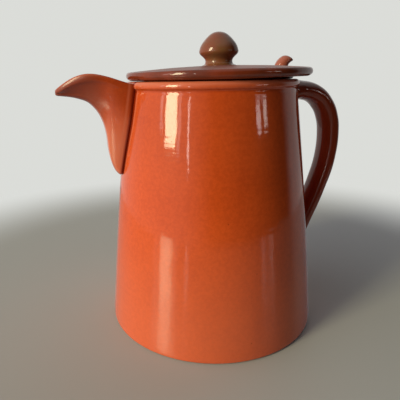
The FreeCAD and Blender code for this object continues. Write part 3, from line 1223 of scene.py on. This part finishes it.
@dataclass
class Handle:
    """Strap handle, luted to the wall under the rim and low down.

    Each bend is given by its radius and its turn in degrees. Knots in a bend or on the straight leg below
    the last one are given by shares of its length.
    """

    wall: Wall
    drop: float = 7.6
    arm: float = 8.8
    root_run: float = 2.0
    bends: Line = ((23.0, 56.0), (36.0, 30.0), (90.0, 26.0))
    bend_knots: tuple[float, ...] = (0.5, 1.0)
    leg_knots: tuple[float, ...] = (0.45, 0.85, 1.0)
    leg_reach: float = 26.0
    slope_height: float = 160.0
    width: float = 21.8
    thickness: float = 13.0
    roundness: float = 0.92
    section_steps: int = 5
    section_resolution: int = 4
    taper: float = 0.78
    flare: float = 1.16
    sink: float = 2.0
    trim_low: float = 30.0
    unevenness: tuple[float, float] = (0.3, 22.0)
    resolution: int = 10
    crease_dark: float = 1.0

    def centre_line(self) -> list[tuple[float, float]]:
        """Follow the middle of the strap from inside the wall, out, round its bends and back again.

        Returns:
            Places along it: distance from the pot's axis and height.
        """
        neck = self.wall.neck_radius
        out, up = neck + self.arm, self.wall.rim_height - self.drop
        places = [(neck - 2 * self.sink, up), (neck + self.root_run, up), (out, up)]
        heading = 0.0
        for radius, turn in self.bends:
            before = math.radians(heading)
            for share in self.bend_knots:
                after = math.radians(heading + turn * share)
                places.append((
                    out + radius * (math.sin(after) - math.sin(before)),
                    up - radius * (math.cos(before) - math.cos(after)),
                ))
            out, up = places[-1]
            heading += turn
        fall = Vector((math.cos(math.radians(heading)), -math.sin(math.radians(heading))))
        slope = (self.wall.base_radius - neck) / self.slope_height
        leg = (out - self.wall.radius(up)) / (-fall.x - slope)
        reaches = [leg * share for share in self.leg_knots] + [leg + self.leg_reach]
        places += [tuple(Vector((out, up)) + fall * reach) for reach in reaches]
        return places

    def strap_section(self) -> Piece:
        """Draw the section of the strap, a flattened oval.

        Returns:
            The closed curve.
        """
        side, face = self.width / 2, self.thickness / 2
        quarter = []
        for step in range(self.section_steps + 1):
            turn = QUARTER_TURN * step / self.section_steps
            x, y = math.sin(turn) ** self.roundness, math.cos(turn) ** self.roundness
            quarter.append((side * x, face * y))
        right = quarter + [(x, -y) for x, y in reversed(quarter[:-1])]
        outline = right + [(-x, y) for x, y in reversed(right[1:-1])]
        knots = [Knot((x, y, 0.0)) for x, y in outline]
        return draw_lines("strap_section", [knots], self.section_resolution, closed=True)

    def build(self) -> Piece:
        """Sweep the strap along its centre line and cut both roots parallel to the wall.

        Returns:
            The handle.
        """
        section = self.strap_section()
        places = self.centre_line()
        last = len(places) - 1
        knots = []
        for index, (out, up) in enumerate(places):
            share = 1 - (1 - self.taper) * index / last
            root = index <= 1 or index >= last - 1
            knots.append(Knot((out, 0.0, up), swell=share * (self.flare if root else 1.0)))
        drawing = draw_lines("handle_glazed", [knots], self.resolution)
        drawing.data.bevel_mode = "OBJECT"
        drawing.data.bevel_object = section
        drawing.data.use_fill_caps = True
        drawing.data.twist_mode = "MINIMUM"
        piece = as_mesh()
        bpy.data.objects.remove(section)
        self.trim_roots()
        hand_unevenness(piece, *self.unevenness)
        return piece

    def trim_roots(self) -> None:
        """Cut away what lies deeper in the wall than the sink."""
        wall = self.wall
        low, high = self.trim_low, wall.neck_height
        slope = Vector((wall.radius(high) - wall.radius(low), 0.0, high - low)).normalized()
        outwards = Vector((slope.z, 0.0, -slope.x))
        foot = Vector((wall.radius(low) - self.sink, 0.0, low)) * MM
        edit_all()
        bpy.ops.mesh.remove_doubles(threshold=MERGE)
        bpy.ops.mesh.select_all(action="SELECT")
        bpy.ops.mesh.bisect(plane_co=foot, plane_no=outwards, use_fill=True, clear_inner=True)
        close_mesh()

    def dress(self, piece: Piece) -> None:
        """Glaze the handle in the darker copy of the orange glaze, which paints its shade, and dark in the
        creases at its roots.
        """
        material = PAINTED_SHADE_ORANGE.material("handle", (self.wall.crease(self.crease_dark),))
        finish_piece(piece, material, "handle", Body.POT)


@dataclass
class Lid:
    """Loose domed lid that carries the knob and the thumb rest, lying askew on the rim."""

    wall: Wall
    overhang: float = 3.1
    edge: float = 5.1
    edge_round: float = 2.2
    edge_lean: float = 0.35
    edge_widest: float = 2.0
    edge_corner: float = 0.8
    edge_shares: tuple[float, float] = (0.45, 0.3)
    undercut: float = 2.4
    undercut_run: float = 1.5
    undercut_rise: float = 0.1
    undercut_share: float = 0.4
    dome: float = 2.7
    dome_knots: tuple[float, ...] = (0.96, 0.85, 0.65, 0.42)
    play: float = 2.5
    ride: float = 2.1
    clearance: float = 0.3
    collar_depth: float = 1.2
    collar_wall: float = 5.0
    collar_corner: float = 1.2
    collar_rise: float = 0.5
    collar_slants: tuple[float, float] = (0.4, 0.3)
    knob_foot: float = 11.0
    unevenness: tuple[float, float] = (0.25, 20.0)
    steps: int = 160
    resolution: int = 5
    worn_top: Ramp = Ramp(0.9, 0.985)

    @property
    def radius(self) -> float:
        """Outside radius of the lid."""
        return self.wall.neck_radius + self.wall.bead_out + self.overhang

    @property
    def face_radius(self) -> float:
        """Radius of the lid's top face, inside its rounded edge."""
        return self.radius - self.edge_round

    @property
    def collar_radius(self) -> float:
        """Outside radius of the collar underneath."""
        return self.wall.mouth_radius - self.play

    def top(self, radius: float) -> float:
        """Height of the domed top over the underside at a radius."""
        return self.edge + self.dome * (1 - (radius / self.face_radius) ** 2)

    def lie(self) -> Matrix:
        """Work out how the lid lies on the rim, shifted and caught on its collar.

        Returns:
            Placement of the lid's own axis, in metres.
        """
        shift = self.play + self.ride
        reach = self.wall.crest_radius + shift
        tilt = math.atan(self.collar_depth / (reach + self.collar_radius))
        height = self.wall.rim_height + self.clearance + reach * math.tan(tilt)
        return Matrix.Translation(Vector((shift, 0, height)) * MM) @ Matrix.Rotation(-tilt, 4, "Y")

    def lay(self, piece: Piece) -> None:
        """Lay a piece drawn round the lid's own axis on the rim.

        Args:
            piece: The piece.
        """
        take_up(piece)
        piece.matrix_world = self.lie()
        bpy.ops.object.transform_apply(location=True, rotation=True, scale=True)

    def profile(self) -> list[Knot]:
        """Draw the lid's profile.

        Returns:
            Knots from the middle of the underside, round the collar and the edge, and over the top.
        """
        inside, outside = self.collar_radius - self.collar_wall, self.collar_radius
        foot = -self.collar_depth
        slant_in, slant_out = self.collar_slants
        under = self.undercut_share
        inwards, down = self.edge_shares
        knots = [
            profile_knot(0, 0, Passing.CORNER),
            profile_knot(inside, 0, Passing.CORNER),
            profile_knot(inside + slant_in, foot + self.collar_rise),
            profile_knot(inside + self.collar_corner, foot),
            profile_knot(outside - self.collar_corner, foot),
            profile_knot(outside - slant_out, foot + self.collar_rise),
            profile_knot(outside, 0, Passing.CORNER),
            profile_knot(self.radius - self.undercut - self.undercut_run, 0.0),
            profile_knot(self.radius - self.undercut, self.undercut_rise),
            profile_knot(self.radius - under * self.undercut, under * self.edge_widest),
            profile_knot(self.radius, self.edge_widest),
            profile_knot(self.radius - self.edge_lean, self.edge - self.edge_corner),
            profile_knot(self.radius - inwards * self.edge_round, self.edge - down * self.edge_corner),
            profile_knot(self.face_radius, self.edge),
        ]
        rings = [share * self.face_radius for share in self.dome_knots] + [self.knob_foot]
        knots += [profile_knot(radius, self.top(radius)) for radius in rings]
        knots.append(profile_knot(0, self.top(self.knob_foot), Passing.CORNER))
        return knots

    def build(self) -> Piece:
        """Turn the disc with its collar.

        Returns:
            The lid.
        """
        piece = turn_profile("lid_glazed", self.profile(), self.resolution, self.steps)
        hand_unevenness(piece, *self.unevenness)
        self.lay(piece)
        return piece

    def dress(self, piece: Piece) -> None:
        """Glaze the lid, worn dull on top."""
        material = BROWN.material("lid", dulled=along(NodeBench.facing_up, self.worn_top, unit=1.0))
        finish_piece(piece, material, "lid", Body.LID)


@dataclass
class Knob:
    """Acorn knob on the lid: flared foot, narrow waist and rounded cap, drawn as radii and heights."""

    lid: Lid
    places: Line = (
        (11.0, 0.0), (9.4, 0.8), (8.6, 2.3), (8.8, 3.8), (10.0, 5.3), (11.7, 6.9), (12.35, 8.2),
        (12.1, 9.8), (11.1, 12.4), (9.4, 14.8), (7.1, 17.2), (4.5, 19.1), (2.0, 20.0), (0.0, 20.25),
    )
    sunk: float = 0.5
    off_centre: float = 0.8
    unevenness: tuple[float, float] = (0.2, 9.0)
    steps: int = 96
    resolution: int = 5

    def build(self) -> Piece:
        """Turn the knob on the lid's axis.

        Returns:
            The knob.
        """
        seat = self.lid.top(self.lid.knob_foot)
        foot = seat - self.sunk
        knots = [profile_knot(radius, foot, Passing.CORNER) for radius in (0.0, self.places[0][0])]
        knots += [profile_knot(radius, seat + height) for radius, height in self.places]
        piece = turn_profile("lid_knob_glazed", knots, self.resolution, self.steps)
        hand_unevenness(piece, *self.unevenness)
        edit_all()
        bpy.ops.transform.translate(value=(self.off_centre * MM, 0, 0))
        bpy.ops.object.mode_set(mode="OBJECT")
        self.lid.lay(piece)
        return piece

    def dress(self, piece: Piece) -> None:
        """Glaze the knob."""
        finish_piece(piece, OLIVE.material("knob"), "lid_knob", Body.LID)


@dataclass
class ThumbRest:
    """Small lug that curls outwards from the lid.

    Each step of its curl goes out and up in millimetres, turns in degrees and narrows.
    """

    lid: Lid
    inset: float = 14.0
    sunk: float = 0.8
    foot: float = 9.2
    width: float = 10.0
    block: float = 1.0
    upward: float = 0.5
    smoothing: int = 3
    steps: tuple[tuple[float, float, float, float], ...] = (
        (0.6, 1.5, 6.0, 1.0), (1.2, 1.6, 8.0, 0.97), (1.9, 1.4, 10.0, 0.96), (2.4, 1.1, 10.0, 0.86),
    )

    def build(self) -> Piece:
        """Pull a small block up and over, step by step, and round it.

        Returns:
            The thumb rest.
        """
        middle = self.lid.radius - self.inset
        height = self.lid.top(middle) - self.sunk + self.block / 2
        deselect()
        bpy.ops.mesh.primitive_cube_add(size=1.0, location=(middle * MM, 0, height * MM))
        piece = bpy.context.object
        piece.name = "lid_thumb_rest_glazed"
        piece.scale = (self.foot * MM, self.width * MM, self.block * MM)
        bpy.ops.object.transform_apply(location=True, rotation=True, scale=True)
        self.pull(piece)
        apply_modifier(piece, "SUBSURF", levels=self.smoothing, render_levels=self.smoothing)
        bpy.ops.object.shade_smooth()
        self.lid.lay(piece)
        return piece

    def pull(self, piece: Piece) -> None:
        """Extrude the top face along the curl, turning and narrowing it.

        Args:
            piece: The block.
        """
        select_faces(piece, lambda face: face.normal.z > self.upward)
        for out, up, turn, narrow in self.steps:
            bpy.ops.mesh.extrude_region_move(TRANSFORM_OT_translate={"value": (out * MM, 0, up * MM)})
            bpy.ops.object.mode_set(mode="OBJECT")
            chosen = [vertex.co.copy() for vertex in piece.data.vertices if vertex.select]
            centre = sum(chosen, Vector()) / len(chosen)
            bpy.ops.object.mode_set(mode="EDIT")
            bpy.ops.transform.rotate(value=-math.radians(turn), orient_axis="Y", center_override=centre)
            bpy.ops.transform.resize(value=(narrow, narrow, narrow), center_override=centre)
        close_mesh()

    def dress(self, piece: Piece) -> None:
        """Glaze the thumb rest in the pale orange, which holds a painted sheen."""
        finish_piece(piece, PALE_SHEEN_ORANGE.material("thumb_rest"), "lid_thumb_rest", Body.LID)


@dataclass(frozen=True)
class Softbox:
    """Upright rectangle of light, placed by the angles in degrees that it fills, seen from the pot."""

    name: str
    azimuth: float
    width: float
    low: float
    high: float
    distance: float
    radiance: float
    colour: tuple[float, float, float]
    mirrored: bool = True

    def light(self, camera_azimuth: float, aim: float) -> None:
        """Hang the softbox.

        Args:
            camera_azimuth: Direction of the camera round the pot, in degrees.
            aim: Height on the pot's axis that it is seen from, in metres.
        """
        out = level_direction(self.azimuth + camera_azimuth)
        bottom = aim + self.distance * math.tan(math.radians(self.low))
        top = aim + self.distance * math.tan(math.radians(self.high))
        lamp = bpy.data.lights.new(self.name, "AREA")
        lamp.shape = "RECTANGLE"
        lamp.size = 2 * self.distance * math.tan(math.radians(self.width / 2))
        lamp.size_y = top - bottom
        lamp.energy = self.radiance * math.pi * lamp.size * lamp.size_y
        lamp.color = self.colour
        holder = bpy.data.objects.new(self.name, lamp)
        holder.location = out * self.distance + Vector((0, 0, (bottom + top) / 2))
        holder.rotation_euler = (-out).to_track_quat("-Z", "Y").to_euler()
        holder.visible_glossy = self.mirrored
        bpy.context.collection.objects.link(holder)


@dataclass
class Studio:
    """Floor, surroundings, lights and camera, in metres and degrees."""

    camera_azimuth: float = -18.0
    camera_distance: float = 0.267435
    camera_height: float = 0.161833
    camera_heading: float = -4.582
    camera_pitch: float = 16.694
    camera_roll: float = -1.111
    lens: float = 36.0
    sensor: float = 36.0
    shift: tuple[float, float] = (0.0509, -0.008)
    nearest: float = 0.01
    floor_radius: float = 0.42
    floor_sides: int = 128
    floor_drop: float = 0.0002
    floor_colour: Colour = (0.49, 0.515, 0.52, 1.0)
    floor_roughness: float = 0.6
    floor_fade: Ramp = Ramp(0.22, 0.4)
    polish_colour: Colour = (0.45, 0.47, 0.475, 1.0)
    polish_tint: Colour = (0.8, 0.86, 1.0, 1.0)
    polish_roughness: float = 0.26
    polish_refraction: float = 2.2
    backdrop: Colour = (0.71, 0.72, 0.69, 1.0)
    bright_side: Colour = (0.62, 0.60, 0.57, 1.0)
    dim_side: Colour = (0.42, 0.40, 0.39, 1.0)
    side_fade: Ramp = Ramp(-0.7, 0.7)
    front: Colour = (0.02, 0.018, 0.016, 1.0)
    front_left: Colour = (0.74, 0.7, 0.67, 1.0)
    front_fade: Ramp = Ramp(-0.15, 0.75)
    left_azimuth: float = -90.0
    bright_azimuth: float = -166.0
    bright_fade: Ramp = Ramp(-0.1, 0.2)
    above: Colour = (0.6, 0.58, 0.56, 1.0)
    above_fade: Ramp = Ramp(0.45, 0.9)
    fill_left: Colour = (1.26, 1.23, 1.28, 1.0)
    fill_right: Colour = (0.008, 0.008, 0.008, 1.0)
    fill_azimuth: float = -74.0
    fill_fade: Ramp = Ramp(0.38, 0.95)
    fill_level: Ramp = Ramp(-0.2, 0.05)
    aim: float = 0.13
    softboxes: tuple[Softbox, ...] = (
        Softbox("key", -49.7, 14.5, 3.7, 34.5, 3.0, 18.0, (1.0, 0.88, 0.56)),
        Softbox("key_outer_edge", -62.5, 4.6, 5.6, 34.0, 1.4, 2.6, (1.0, 0.92, 0.85)),
        Softbox("key_inner_edge", -38.4, 3.4, 2.6, 34.0, 1.4, 2.2, (1.0, 0.92, 0.85)),
        Softbox("thin_strip", -26.0, 1.7, 0.0, 15.0, 1.4, 9.0, (1.0, 0.92, 0.8)),
        Softbox("side_strip", 60.3, 5.5, 4.9, 9.5, 1.4, 5.0, (1.0, 0.9, 0.88)),
        Softbox("far_side_strip", 70.0, 5.0, 5.2, 9.5, 1.4, 5.0, (1.0, 0.93, 0.85)),
        Softbox("side_top", 65.0, 16.0, 9.5, 15.0, 1.4, 1.2, (1.0, 0.93, 0.9)),
        Softbox("back", 180.0, 60.0, 8.0, 48.0, 1.4, 0.2, (1.0, 0.98, 0.95)),
        Softbox("back_fill", 145.0, 60.0, 0.0, 50.0, 1.4, 0.55, (1.0, 0.97, 0.93), mirrored=False),
    )

    def build(self) -> None:
        """Set up everything round the pot."""
        self.lay_floor()
        self.surround()
        for softbox in self.softboxes:
            softbox.light(self.camera_azimuth, self.aim)
        self.place_camera()
        bpy.context.scene.view_settings.view_transform = "Standard"

    def lay_floor(self) -> None:
        """Lay a plain floor, satin where the pot's gloss mirrors it, fading into the backdrop far off."""
        deselect()
        bpy.ops.mesh.primitive_circle_add(
            vertices=self.floor_sides, radius=self.floor_radius, fill_type="NGON",
            location=(0, 0, -self.floor_drop),
        )
        floor = bpy.context.object
        floor.name = "floor"
        material = bpy.data.materials.new("plain_floor")
        material.use_nodes = True
        bench = NodeBench(material.node_tree)
        matt = bench.wire("ShaderNodeBsdfPrincipled", {
            "Base Color": self.floor_colour,
            "Roughness": self.floor_roughness,
        })
        polish = bench.wire("ShaderNodeBsdfPrincipled", {
            "Base Color": self.polish_colour,
            "Roughness": self.polish_roughness,
            "IOR": self.polish_refraction,
            "Specular Tint": self.polish_tint,
        })
        far = bench.wire("ShaderNodeEmission", {"Color": self.backdrop})
        seen = bench.add("ShaderNodeLightPath").outputs["Is Camera Ray"]
        off = bench.length(bench.place)
        faded = bench.math("MULTIPLY", bench.fade(off, self.floor_fade), seen)
        bench.show(bench.mix(faded, bench.mix(seen, polish, matt), far))
        floor.data.materials.append(material)

    def towards(self, bench: NodeBench, azimuth: float) -> Socket:
        """How far a direction points to an angle round the pot from the camera's side."""
        pair = {0: bench.place, 1: tuple(level_direction(azimuth + self.camera_azimuth))}
        return bench.wire("ShaderNodeVectorMath", pair, "Value", operation="DOT_PRODUCT")

    def surround(self) -> None:
        """Surround the pot with a pale backdrop, in its gloss brighter on one side and dark in front."""
        world = bpy.data.worlds.new("surroundings")
        bpy.context.scene.world = world
        world.use_nodes = True
        bench = NodeBench(world.node_tree, "Generated")
        up = bench.height()
        behind = self.towards(bench, self.bright_azimuth)
        leftwards = self.towards(bench, self.left_azimuth)
        wall = bench.blend(bench.fade(leftwards, self.side_fade), self.dim_side, self.bright_side)
        front = bench.blend(bench.fade(leftwards, self.front_fade), self.front, self.front_left)
        mirrored = bench.blend(bench.fade(behind, self.bright_fade), front, wall)
        mirrored = bench.blend(bench.fade(up, self.above_fade), mirrored, self.above)
        rays = bench.add("ShaderNodeLightPath").outputs
        shown = bench.math("MAXIMUM", rays["Is Camera Ray"], rays["Is Glossy Ray"])
        shown = bench.math("MAXIMUM", shown, rays["Is Transmission Ray"])
        picture = bench.blend(rays["Is Camera Ray"], mirrored, self.backdrop)
        filled = bench.fade(self.towards(bench, self.fill_azimuth), self.fill_fade)
        filled = bench.math("MULTIPLY", filled, bench.fade(up, self.fill_level))
        even = bench.blend(filled, self.fill_right, self.fill_left)
        skies = [bench.wire("ShaderNodeBackground", {"Color": colour}) for colour in (even, picture)]
        bench.show(bench.mix(shown, *skies), "ShaderNodeOutputWorld")

    def place_camera(self) -> None:
        """Stand the camera at the photograph's angle."""
        spot = level_direction(self.camera_azimuth) * self.camera_distance
        spot.z = self.camera_height
        heading = math.radians(self.camera_heading - self.camera_azimuth)
        look = (
            Matrix.Rotation(-heading, 4, "Z")
            @ Matrix.Rotation(math.radians(90 - self.camera_pitch), 4, "X")
            @ Matrix.Rotation(math.radians(self.camera_roll), 4, "Z")
        )
        lens = bpy.data.cameras.new("photo_view")
        lens.lens = self.lens
        lens.sensor_width = self.sensor
        lens.shift_x, lens.shift_y = self.shift
        lens.clip_start = self.nearest
        camera = bpy.data.objects.new("photo_view", lens)
        camera.matrix_world = Matrix.Translation(spot) @ look
        bpy.context.collection.objects.link(camera)
        bpy.context.scene.camera = camera


SEAM: Line = (
    (0.0, 102.3), (7.4, 105.9), (9.4, 112.6), (13.2, 126.0), (15.9, 138.0), (17.1, 154.0), (17.1, 158.6),
)


def main() -> None:
    """Build, dress and report every piece, then set up the studio."""
    logging.basicConfig(level=logging.INFO, format="%(message)s")
    wall = Wall()
    lid = Lid(wall)
    for part in (Pot(wall, SEAM), Spout(wall, SEAM), Handle(wall), lid, Knob(lid), ThumbRest(lid)):
        part.dress(part.build())
    Studio().build()


if __name__ == "__main__":
    main()
